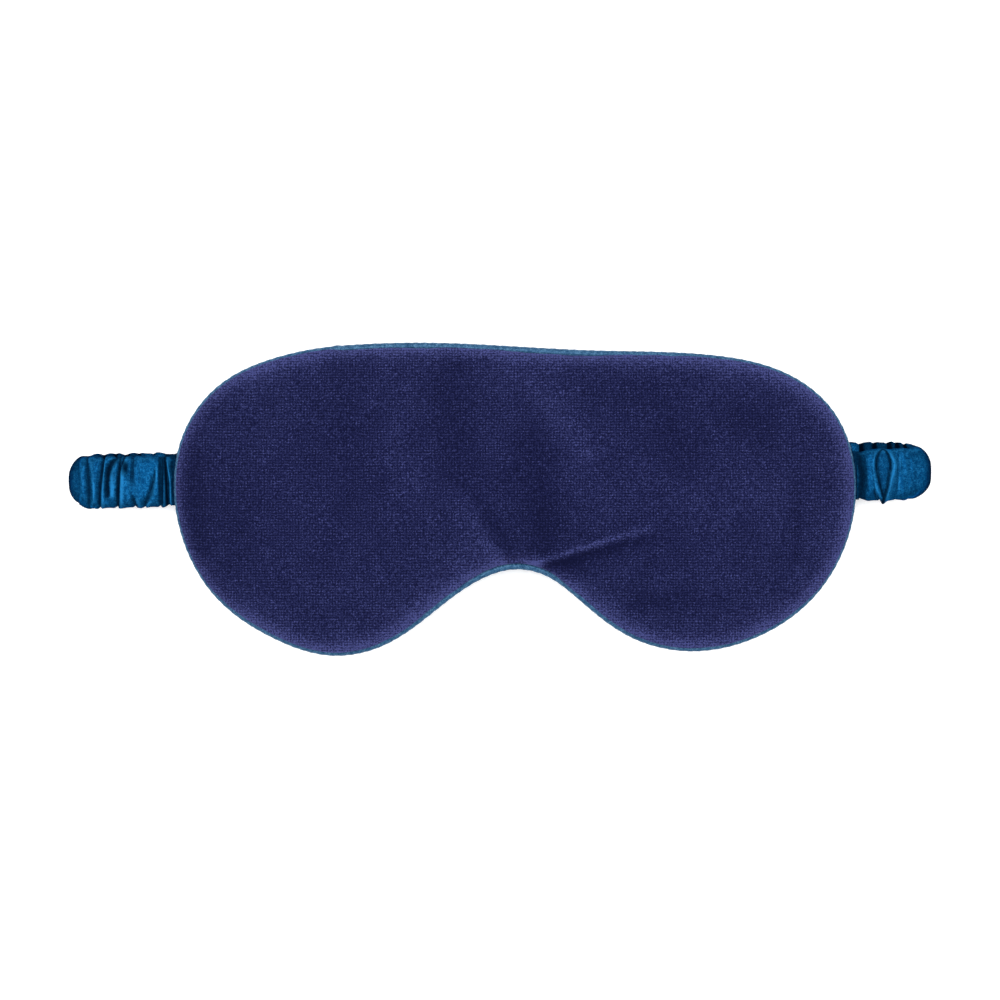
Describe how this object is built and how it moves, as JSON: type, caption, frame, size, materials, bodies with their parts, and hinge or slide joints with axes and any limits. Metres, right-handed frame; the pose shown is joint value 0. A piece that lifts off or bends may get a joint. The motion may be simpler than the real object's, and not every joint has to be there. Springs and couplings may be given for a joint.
{
  "type": "sleep eye mask",
  "caption": "Padded sleep mask with a velvet front, satin back, corded piping and nose notch, and a gathered elastic strap that is folded flat behind it.",
  "frame": {"origin": "on the surface that the folded strap lies on, under the middle of the whole object", "axes": "+X to the right across the brow, +Y towards the forehead edge, +Z out of the velvet front"},
  "size_m": [0.2668, 0.0972, 0.0152],
  "materials": {
    "velvet": "plush velvet pile",
    "satin": "glossy satin",
    "piping_satin": "glossy satin",
    "cotton_cord": "twisted cotton",
    "foam": "open-cell foam",
    "wadding": "needled polyester wadding",
    "blackout": "dense black lining",
    "navy_thread": "polyester thread",
    "teal_thread": "polyester thread",
    "elastic": "braided elastic"
  },
  "bodies": {
    "mask": {"front_panel": "velvet", "back_panel": "satin", "piping_cover": "piping_satin", "piping_cord": "cotton_cord", "foam_pad": "foam", "back_wadding": "wadding", "blackout_liner": "blackout", "needle_thread": "navy_thread", "bobbin_thread": "teal_thread", "right_strap_anchor": "satin", "left_strap_anchor": "satin", "right_bartack": "navy_thread", "left_bartack": "navy_thread"},
    "right_tab": {"right_tab_casing": "satin", "right_tab_elastic": "elastic"},
    "right_run": {"right_fold_casing": "satin", "right_fold_elastic": "elastic", "right_run_casing": "satin", "right_run_elastic": "elastic"},
    "middle_right_run": {"middle_right_run_casing": "satin", "middle_right_run_elastic": "elastic"},
    "middle_left_run": {"middle_left_run_casing": "satin", "middle_left_run_elastic": "elastic"},
    "left_run": {"left_run_casing": "satin", "left_run_elastic": "elastic", "left_fold_casing": "satin", "left_fold_elastic": "elastic"},
    "left_tab": {"left_tab_casing": "satin", "left_tab_elastic": "elastic"}
  },
  "joints": [
    {"name": "strap_open", "type": "hinge", "parent": "mask", "child": "right_tab", "pos_m": [0.11235, 0, 0.0087], "axis": [0, 1, 0], "range_deg": [0, 90]},
    {"name": "right_fold_open", "type": "hinge", "parent": "right_tab", "child": "right_run", "pos_m": [0.1319, 0, 0.0051], "axis": [0, 1, 0], "range_deg": [-150, 0], "deforming": ["right_fold_casing", "right_fold_elastic"]},
    {"name": "right_bend", "type": "hinge", "parent": "right_run", "child": "middle_right_run", "pos_m": [0.04719, 0, 0.0015], "axis": [0, 1, 0], "range_deg": [0, 60]},
    {"name": "strap_stretch", "type": "slide", "parent": "middle_right_run", "child": "middle_left_run", "axis": [-1, 0, 0], "range_m": [0, 0.03], "stiffness_N_per_m": 1},
    {"name": "left_bend", "type": "hinge", "parent": "middle_left_run", "child": "left_run", "pos_m": [-0.05791, 0, 0.0015], "axis": [0, 1, 0], "range_deg": [0, 60]},
    {"name": "left_fold_open", "type": "hinge", "parent": "left_run", "child": "left_tab", "pos_m": [-0.1319, 0, 0.0051], "axis": [0, 1, 0], "range_deg": [-150, 0], "deforming": ["left_fold_casing", "left_fold_elastic"]}
  ],
  "couplings": [
    {"joint": "right_fold_open", "follows": "strap_open", "ratio": -1.6667},
    {"joint": "right_bend", "follows": "strap_open", "ratio": 0.66667},
    {"joint": "strap_stretch", "follows": "strap_open", "m_per_rad": 0.019099},
    {"joint": "left_bend", "follows": "strap_open", "ratio": 0.66667},
    {"joint": "left_fold_open", "follows": "strap_open", "ratio": -1.6667}
  ]
}
